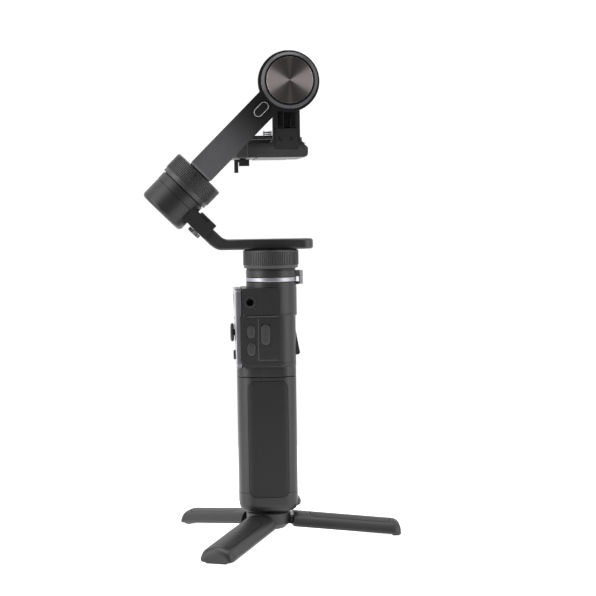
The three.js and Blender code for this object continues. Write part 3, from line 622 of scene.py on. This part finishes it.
def motor_ring(name, radius, base_z, top_z, rim, matrix):
    """Rotor ring: a plain stepped rim below, fine ribs above it and a hollow top."""
    low, high = base_z + rim, top_z - 0.9
    profile = [(radius - 1.9, base_z), (radius - 0.75, base_z), (radius - 0.5, base_z + 0.1),
               (radius - 0.4, base_z + 0.35), (radius - 0.4, low - 0.3), (radius - 0.3, low - 0.1),
               (radius, low), (radius, low + 0.1), (radius, low + 0.35), (radius, high - 0.3), (radius, high),
               (radius, high + 0.1), (radius - 0.12, high + 0.45), (radius - 0.4, high + 0.7),
               (radius - 0.9, top_z), (BORE, top_z), (BORE, top_z - 2.1), (radius - 1.9, top_z - 2.1)]

    def groove(row, i):
        return GROOVE * LAND[i % len(LAND)] if row in RIB_ROWS else 0

    stand_for(name, lathe(profile, RIBS * len(LAND), groove), matrix=matrix, sharp=30)


motor_ring("pan_motor_ring", 18.0, 169.8, 181.5, 1.9, PAN)
motor_ring("roll_motor_ring", 18.2, -90.5, -76.0, 2.9, ROLL)
# Near-black rings set into the gaps between the motor parts: painted shadow in these gaps.
for name, beside, place, r0, r1, z0, z1 in (
        ("pan_gap_sleeve", "neck_collar", PAN, 14.0, 15.9, 168.9, 170.6),
        ("roll_gap_sleeve", "roll_bracket", ROLL, 14.0, 16.1, -92.0, -89.8),
        ("housing_gap_sleeve", "roll_bracket", ROLL, 13.6, 16.2, -98.2, -96.4)):
    extra(name, lathe([(r0, z0), (r1, z0), (r1, z1), (r0, z1)]), "dark", beside, matrix=place)

housing_profile = [(0, -111.9), (16.7, -111.9), (16.7, -97.3), (16.3, -97.3), (16.3, -98.4), (13.2, -98.4),
                   (13.2, -108.1), (0, -108.1)]
stand_for("roll_housing", lathe(fillet(housing_profile, {1: 2.6, 2: 0.2}, 8), 128), matrix=ROLL)

rim_profile = [(12.6, 79.3), (16.9, 79.3), (16.9, 87.5), (15.2, 88.8), (14.8, 88.8), (14.8, 87.0),
               (12.6, 87.0)]
tilt_rim = lathe(fillet(rim_profile, {1: 0.4, 2: 0.5, 3: 0.4}, 5), 160)
stand_for("tilt_motor_housing", tilt_rim, MATS["rim"], matrix=TILT)
cap_profile = [(0, 87.3), (13.9, 87.3), (13.9, 89.8), (0, 90.35)]
stand_for("tilt_motor_cap", lathe(fillet(cap_profile, {2: 0.1}, 3), 192), place=TILT)

ring_profile = [(10.4, 161.1), (16.35, 161.1), (16.35, 163.8), (10.4, 163.8)]
stand_for("silver_ring", lathe(fillet(ring_profile, {1: 0.35, 2: 0.35}), 128), matrix=PAN)

neck_profile = [(BORE, 156.6), (10, 156.6), (10, 164.0), (16.3, 164.0), (16.3, 168.2), (16.0, 168.5),
                (16.0, 169.2), (BORE, 169.2)]
neck = moved(lathe(fillet(neck_profile, {3: 0.25, 6: 0.2}), 128), PAN)
stand_for("neck_collar", carve(neck, *cut(cuboid(15.4, 24, -4.3, 4.3, 163, 170))))

thumb_rest = slab([(19.4, 165.3), (19.4, 163.9), (22.0, 163.9), (22.4, 163.2), (22.4, 165.3)], -4, 4)
lock_lever = carve(cuboid(15.8, 24.7, -4, 4, 165.2, 168.0),
                   *join(cuboid(22.3, 24.7, -4, 4, 158.9, 168.0), thumb_rest))
stand_for("pan_lock_lever", soften(lock_lever, 0.3, 3), MATS["lever"])

CLAMP_D, KNURL, KNURL_ROWS = 24.2, 0.12, (3, 4)
clamp_profile = [(0, -107.45), (3.9, -107.45), (4.5, -107.0), (4.5, -106.9), (4.5, -105.2), (4.5, -105.1),
                 (4.4, -104.92), (2.0, -104.92), (2.0, -93.9), (0, -93.9)]
clamp_screw = lathe(clamp_profile, 96, lambda row, i: KNURL * (i % 2) if row in KNURL_ROWS else 0)
stand_for("arm_clamp_screw", clamp_screw, MATS["knob"], matrix=ROLL @ at(CLAMP_D, 0, 0), sharp=30)

# ---------------------------------------------------------------- roll bracket and pan arm
# Drawn in the roll motor's frame: s runs up along the motor's axis, and d across it, down and towards +X.
collar = lathe(fillet([(BORE, -97.0), (16.9, -97.0), (16.9, -91.1), (BORE, -91.1)], {1: 0.15, 2: 0.4}), 128)
web_outline = fillet([(8, -96.0), (31.4, -96.0), (31.4, -92.9), (18.6, -92.9), (18.6, -94.4), (8, -94.4)],
                     {2: 0.5, 3: 1.3})
wing_outline = fillet([(11.5, -104.5), (31.4, -104.5), (31.4, -92.95), (18.65, -92.95), (18.65, -94.5),
                       (11.5, -94.5)], {0: 1.0, 1: 0.8, 2: 0.5, 3: 1.3})
web = slab(web_outline, -11.5, 11.5)
wings = [soften(slab(wing_outline, y - 0.75, y + 0.75), 0.35, 3, 60) for y in (-11.05, 11.05)]
seam = cuboid(20.3, 25.7, -12.2, -11.15, -95.25, -94.5)
clamp_hole = rod(2.4, -99, -90, 32, CLAMP_D)
bracket = carve(collar, *join(web, *wings),
                *cut(rod(17.0, -120, -97.0, 128), rod(BORE, -120, -80), clamp_hole, seam))
stand_for("roll_bracket", bracket, matrix=ROLL)


def from_roll(d, s):
    """The (x, z) place of a point of the roll motor's frame."""
    return (PIVOT.x + (d + s) * math.sqrt(0.5), PIVOT.z + (s - d) * math.sqrt(0.5))


ARM_TIP_X, ARM_HALF, ARM_Z0, ARM_Z1 = 31.5, 10.0, 181.9, 188.5
side_view = fillet([from_roll(17.3, -104.7), from_roll(37.2, -104.7), (-30.6, ARM_Z0), (ARM_TIP_X, ARM_Z0),
                    (ARM_TIP_X, ARM_Z1), (-26.0, ARM_Z1), from_roll(17.3, -96.3)], {1: 9, 2: 9, 5: 7}, 8)
tip_round = rounded_rect(-90, ARM_TIP_X, -ARM_HALF, ARM_HALF, 7.5, 16)
plan = loft([[(x, y, z) for x, y in tip_round] for z in (150, 260)])
slot = moved(block(12, 34.5, -2.4, 2.4, 2.38, -110, -90), ROLL)
pan_arm = soften(carve(slab(side_view, -ARM_HALF, ARM_HALF), ("INTERSECT", plan)), 1.5, 4, 50)
stand_for("pan_arm", carve(pan_arm, *cut(slot)))

# ---------------------------------------------------------------- controls
for name, z in zip(("side_button_upper", "side_button_lower"), KEY_ZS):
    key = block(KEY_X - 2.6, KEY_X + 2.6, z - 4.2, z + 4.2, 2.6, 14.6, 17.4, 0, 0.5, 0.25)
    stand_for(name, key, MATS["key"], matrix=SIDE)
rocker = block(-3.85, 2.15, 120.5, 134.1, 3.0, 15.0, 17.5, 0, 0.6, 0.3)
stand_for("side_rocker", rocker, MATS["key"], matrix=SIDE)

stick_profile = [(0, 16.6), (2.1, 16.6), (2.1, 20.7), (5.0, 20.7), (6.0, 21.2), (6.0, 22.2), (5.0, 22.9),
                 (2.8, 22.65), (0, 22.55)]
stick = lathe(fillet(stick_profile, {3: 0.2, 4: 0.4, 5: 0.5, 6: 0.6}))
stand_for("joystick", stick, matrix=at(0, 0, STICK_Z) @ REAR)
power_profile = [(0, 17.2), (3.1, 17.2), (3.1, 21.2), (0, 21.2)]
stand_for("power_button", lathe(fillet(power_profile, {2: 0.5})), matrix=at(0, 0, POWER_Z) @ REAR)

bush_thread = [point for i in range(6) for point in ((2.45, 15.9 - i), (2.75, 15.4 - i))]
bush_profile = [(4.25, 8.9), (4.25, 16.9), (3.15, 16.9), (3.1, 17.12), (2.75, 17.15), (2.45, 16.8),
                *bush_thread, (2.45, 9.6), (0, 9.6), (0, 8.9)]
stand_for("accessory_bush", lathe(bush_profile, 64), MATS["tray"], matrix=at(BUSH_X, 0, BUSH_Z) @ SIDE)

LOCK = ROLL @ SIDE @ at(0, -23.9, 0)
LOCK_X, LOCK_Y, LOCK_TOP, DOT_X, DOT_Y = 2.75, 5.25, 80.2, 1.15, 0.9
slider = block(-LOCK_X, LOCK_X, -LOCK_Y, LOCK_Y, 2.74, LOCK_TOP - 0.9, LOCK_TOP, 0, 0.15)
dots = bmesh.new()
for row in range(-4, 5):
    for col in (-1, 0, 1):
        shift = 0.25 if row % 2 else -0.25
        bmesh.ops.create_cone(dots, cap_ends=True, segments=10, radius1=0.3, radius2=0.3, depth=0.4,
                              matrix=at((col + shift) * DOT_X, row * DOT_Y, LOCK_TOP))
stand_for("tilt_lock_slider", carve(slider, *cut(dots)), matrix=LOCK)
bead = [(0.09, -0.1), (0.03, 0.0), (0.11, 0.08), (0.33, 0.08), (0.39, 0.0), (0.37, -0.1)]
bead_rings = [[(x, y, LOCK_TOP + rise) for x, y in
               rounded_rect(i - LOCK_X, LOCK_X - i, i - LOCK_Y, LOCK_Y - i, 2.74 - i)] for i, rise in bead]
extra("slider_outline", loft(bead_rings, wrap=True), "pale", "tilt_lock_slider", matrix=LOCK)

# ---------------------------------------------------------------- tilt arm and camera carriage details
# The arm's round end, smooth, and its crest kept within the arm's height.
DISC_R, DISC_Y0, DISC_Y1 = 18.6, -79, -72.6
disc = carve(bar_y(DISC_R, PIVOT.x, PIVOT.z, DISC_Y0, DISC_Y1, 144),
             *cut(bar_y(BORE, PIVOT.x, PIVOT.z, DISC_Y0 - 1, DISC_Y1 + 1, 64)))
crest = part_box("tilt_arm")[1][2] / MM - 0.01
above = cuboid(PIVOT.x - 9, PIVOT.x + 9, DISC_Y0 - 1, DISC_Y1 + 1, crest, crest + 1)
refine("tilt_arm", 0.55, mat=MATS["bar"], steps=join(disc) + cut(above))

SCREW_X, SCREW_Y, TRAY_TOP = 3, -2, 248.2
screw_thread = [(3.1 - 0.42 * (i % 2), 250.9 + 0.55 * i) for i in range(13)]
screw_profile = [(0, TRAY_TOP + 0.6), (7.0, TRAY_TOP + 0.6), (7.0, 250.4), (2.7, 250.4), *screw_thread,
                 (3.0, 257.9), (2.5, 258.4), (0, 258.4)]
camera_screw = lathe(fillet(screw_profile, {1: 0.3, 2: 0.3}), 96)
coin_slot = cuboid(-8, 8, -0.8, 0.8, TRAY_TOP, TRAY_TOP + 1.6)
stand_for("camera_screw", carve(camera_screw, *cut(coin_slot)), matrix=at(SCREW_X, SCREW_Y, 0))
for i, x in enumerate((6.8, 14.0)):
    seat = at(x, -71.28, 251.3) @ Matrix.Rotation(math.pi / 2, 4, "X")
    extra(f"block_screw_{i + 1}", screw_head(1.15, 0.55, 0.6), "tray", "height_stop_block", matrix=seat)

# ---------------------------------------------------------------- tripod
# Along a leg u runs outwards from its hinge, y across it and z up from its flat underside.
LEG_R, LEG_CORE, LEG_HALF, LEG_SLOPE, PIN_UP = 16.2, 7.15, 11.5, 6.9, 2.85
LEG_END, TOE_LENGTH, TOE_SPREAD = 71.9, 5.5, 80
PAD_U0, PAD_U1, PAD_HALF, PAD_GAP = 16.62, 69.68, 7.38, 0.37


def leg_section(wide=1.0, tall=1.0):
    """Outline across a leg, as (across, up) points: flat underside, crowned top and soft shoulders."""
    crown = []
    for i in range(41):
        y = LEG_HALF * math.sin(math.pi / 2 * (i / 20 - 1))
        up = math.sqrt(LEG_R ** 2 - y * y) - LEG_CORE
        crown.append((y, up - 2.6 * max(0, (abs(y) - 7.7) / 3.8) ** 2.4))
    under = [(LEG_HALF - 0.15, 0.35), (LEG_HALF - 0.6, 0), (0.6 - LEG_HALF, 0), (0.15 - LEG_HALF, 0.35)]
    return [(y * wide, z * tall) for y, z in crown + under]


def leg_tube(radius, u0, u1):
    """Cylinder along a leg about the centre of its crown."""
    return loft([[(u, y, z) for y, z in circle(radius, 128, 0, -LEG_CORE)] for u in (u0, u1)])


def pin_bar(radius, half):
    """Cylinder on the leg's hinge axis."""
    return loft([[(x, y, z) for x, z in circle(radius, 40, 0, PIN_UP)] for y in (-half, half)])


def leg_toe():
    rings = []
    for i in range(12):
        t = math.radians(TOE_SPREAD) * i / 11
        wide = 1 - 0.30 * (1 - math.cos(t)) ** 1.1
        u = LEG_END + 0.1 + TOE_LENGTH * math.sin(t)
        rings.append([(u, y, z) for y, z in leg_section(wide, math.cos(t) ** 0.5)])
    rings.append([(LEG_END + 0.1 + TOE_LENGTH, y, z + 0.25) for y, z in leg_section(0.66, 0.34)])
    sole = soften(cuboid(72.6, 77.0, -6.8, 6.8, -4, 1), 0.8, 3)
    return carve(loft(rings), *join(sole))


for side in ("right", "left", "front"):
    hinge = Vector(JOINTS[f"leg_{side}_fold"]["pos_m"]) / MM
    lay = (Matrix.Translation(hinge) @ Matrix.Rotation(math.atan2(hinge.y, hinge.x), 4, "Z")
           @ Matrix.Rotation(math.radians(LEG_SLOPE), 4, "Y") @ at(0, 0, -PIN_UP))
    ends = ((5.4, 0.985), (5.7, 1), (LEG_END, 1))
    beam = loft([[(u, y, z) for y, z in leg_section(k, k)] for u, k in ends])
    half = PAD_HALF + PAD_GAP
    pocket = carve(block(PAD_U0 - PAD_GAP, PAD_U1 + PAD_GAP, -half, half, 4.25, -1, 12),
                   *cut(leg_tube(LEG_R - 1.3, 0, 90)))
    knuckle = join(cuboid(0, 6.4, -3.5, 3.5, 0.5, 5.2), pin_bar(2.35, 3.5))
    leg = carve(beam, *knuckle, *cut(pocket, pin_bar(1.5, 6)))
    stand_for(f"leg_{side}", leg, matrix=lay)
    pad = carve(block(PAD_U0, PAD_U1, -PAD_HALF, PAD_HALF, 3.9, -1, 12),
                ("INTERSECT", leg_tube(LEG_R - 0.03, 0, 90)), *cut(leg_tube(LEG_R - 1.0, 0, 90)))
    stand_for(f"leg_{side}_pad", soften(pad, 0.2, 2), MATS["leg_pad"], matrix=lay)
    toe = sliced(moved(leg_toe(), lay), (0, 0, FLOOR + 0.01), (0, 0, -1))
    stand_for(f"leg_{side}_toe", toe, MATS["shell"], sharp=50)

# ---------------------------------------------------------------- everything else follows the CAD shapes
BEVEL = {"camera_bracket": 0.55, "camera_tray": 0.6, "trigger": 0.7, "height_stop_block": 0.15,
         "focus_dial": 0.25}
COATS = {"camera_tray": "bracket", "camera_bracket": "bracket", "tilt_rail": "rail",
         "height_stop_block": "tray", "joystick_carrier": "panel",
         "leg_right_pin": "rim", "leg_left_pin": "rim", "leg_front_pin": "rim"}
for name in sorted(NODES):
    if name not in REBUILT:
        refine(name, BEVEL.get(name, 0.35), mat=MATS.get(COATS.get(name)))


# ---------------------------------------------------------------- floor, light and camera (metres)
def area(name, location, target, size, power):
    """Rectangular lamp aimed at target, in metres and watts."""
    data = bpy.data.lights.new(name, "AREA")
    data.shape = "RECTANGLE"
    data.size, data.size_y = size
    data.energy = power
    obj = bpy.data.objects.new(name, data)
    obj.location = location
    obj.rotation_euler = (Vector(target) - Vector(location)).to_track_quat("-Z", "Y").to_euler()
    bpy.context.scene.collection.objects.link(obj)


grid = bmesh.new()
bmesh.ops.create_grid(grid, x_segments=2, y_segments=2, size=0.45)
floor_mesh = bpy.data.meshes.new("floor")
grid.to_mesh(floor_mesh)
grid.free()
floor = bpy.data.objects.new("floor", floor_mesh)
floor.location.z = FLOOR * MM - 0.0002
bpy.context.scene.collection.objects.link(floor)
paper, _, paper_bsdf = shader("floor_paper")
paper_bsdf.inputs["Base Color"].default_value = (0.5, 0.5, 0.5, 1)
paper_bsdf.inputs["Roughness"].default_value = 0.9
paper_bsdf.inputs["Emission Color"].default_value = (1, 1, 1, 1)
paper_bsdf.inputs["Emission Strength"].default_value = 1.0
floor_mesh.materials.append(paper)

# The studio: white all round behind the object and dim on the -Y side, where the camera stands.
DIM, BRIGHT, BACKDROP = 0.05, 1.1, 1.05
world = bpy.data.worlds.new("studio")
bpy.context.scene.world = world
world.use_nodes = True
sky = world.node_tree
coord = node(sky, "ShaderNodeTexCoord")
split = node(sky, "ShaderNodeSeparateXYZ")
sky.links.new(coord.outputs["Generated"], split.inputs["Vector"])
fade = node(sky, "ShaderNodeMapRange", From_Min=-0.88, From_Max=0.05, To_Min=DIM, To_Max=BRIGHT)
sky.links.new(split.outputs["Y"], fade.inputs["Value"])
path = node(sky, "ShaderNodeLightPath")
strength = node(sky, "ShaderNodeMix", data_type="FLOAT")
sky.links.new(path.outputs["Is Camera Ray"], strength.inputs["Factor"])
sky.links.new(fade.outputs["Result"], strength.inputs["A"])
strength.inputs["B"].default_value = BACKDROP
sky.links.new(strength.outputs["Result"], sky.nodes["Background"].inputs["Strength"])
sky.nodes["Background"].inputs["Color"].default_value = (1, 1, 1, 1)

area("key_left", (-1.1, -0.55, 0.5), (0, 0, 0.15), (0.9, 1.3), 13)
area("fill_right", (1.05, -0.55, 0.4), (0, 0, 0.15), (0.8, 1.3), 8)
area("top", (-0.1, -0.15, 1.3), (0, 0, 0.1), (1.2, 1.0), 14)

bpy.context.scene.view_settings.view_transform = "Standard"

eye = Vector((-0.0581, -1.1974, 0.2170))
aim = Vector((0.0214, 0.0, 0.1497))
bank = math.radians(0.85)
forward = (aim - eye).normalized()
level = forward.cross(Vector((0, 0, 1))).normalized()
upright = level.cross(forward)
right = level * math.cos(bank) - upright * math.sin(bank)
up = upright * math.cos(bank) + level * math.sin(bank)
camera = bpy.data.objects.new("camera", bpy.data.cameras.new("camera"))
camera.matrix_world = Matrix.Translation(eye) @ Matrix((right, up, -forward)).transposed().to_4x4()
camera.data.sensor_width = 36
camera.data.lens = 111.5
bpy.context.scene.collection.objects.link(camera)
bpy.context.scene.camera = camera
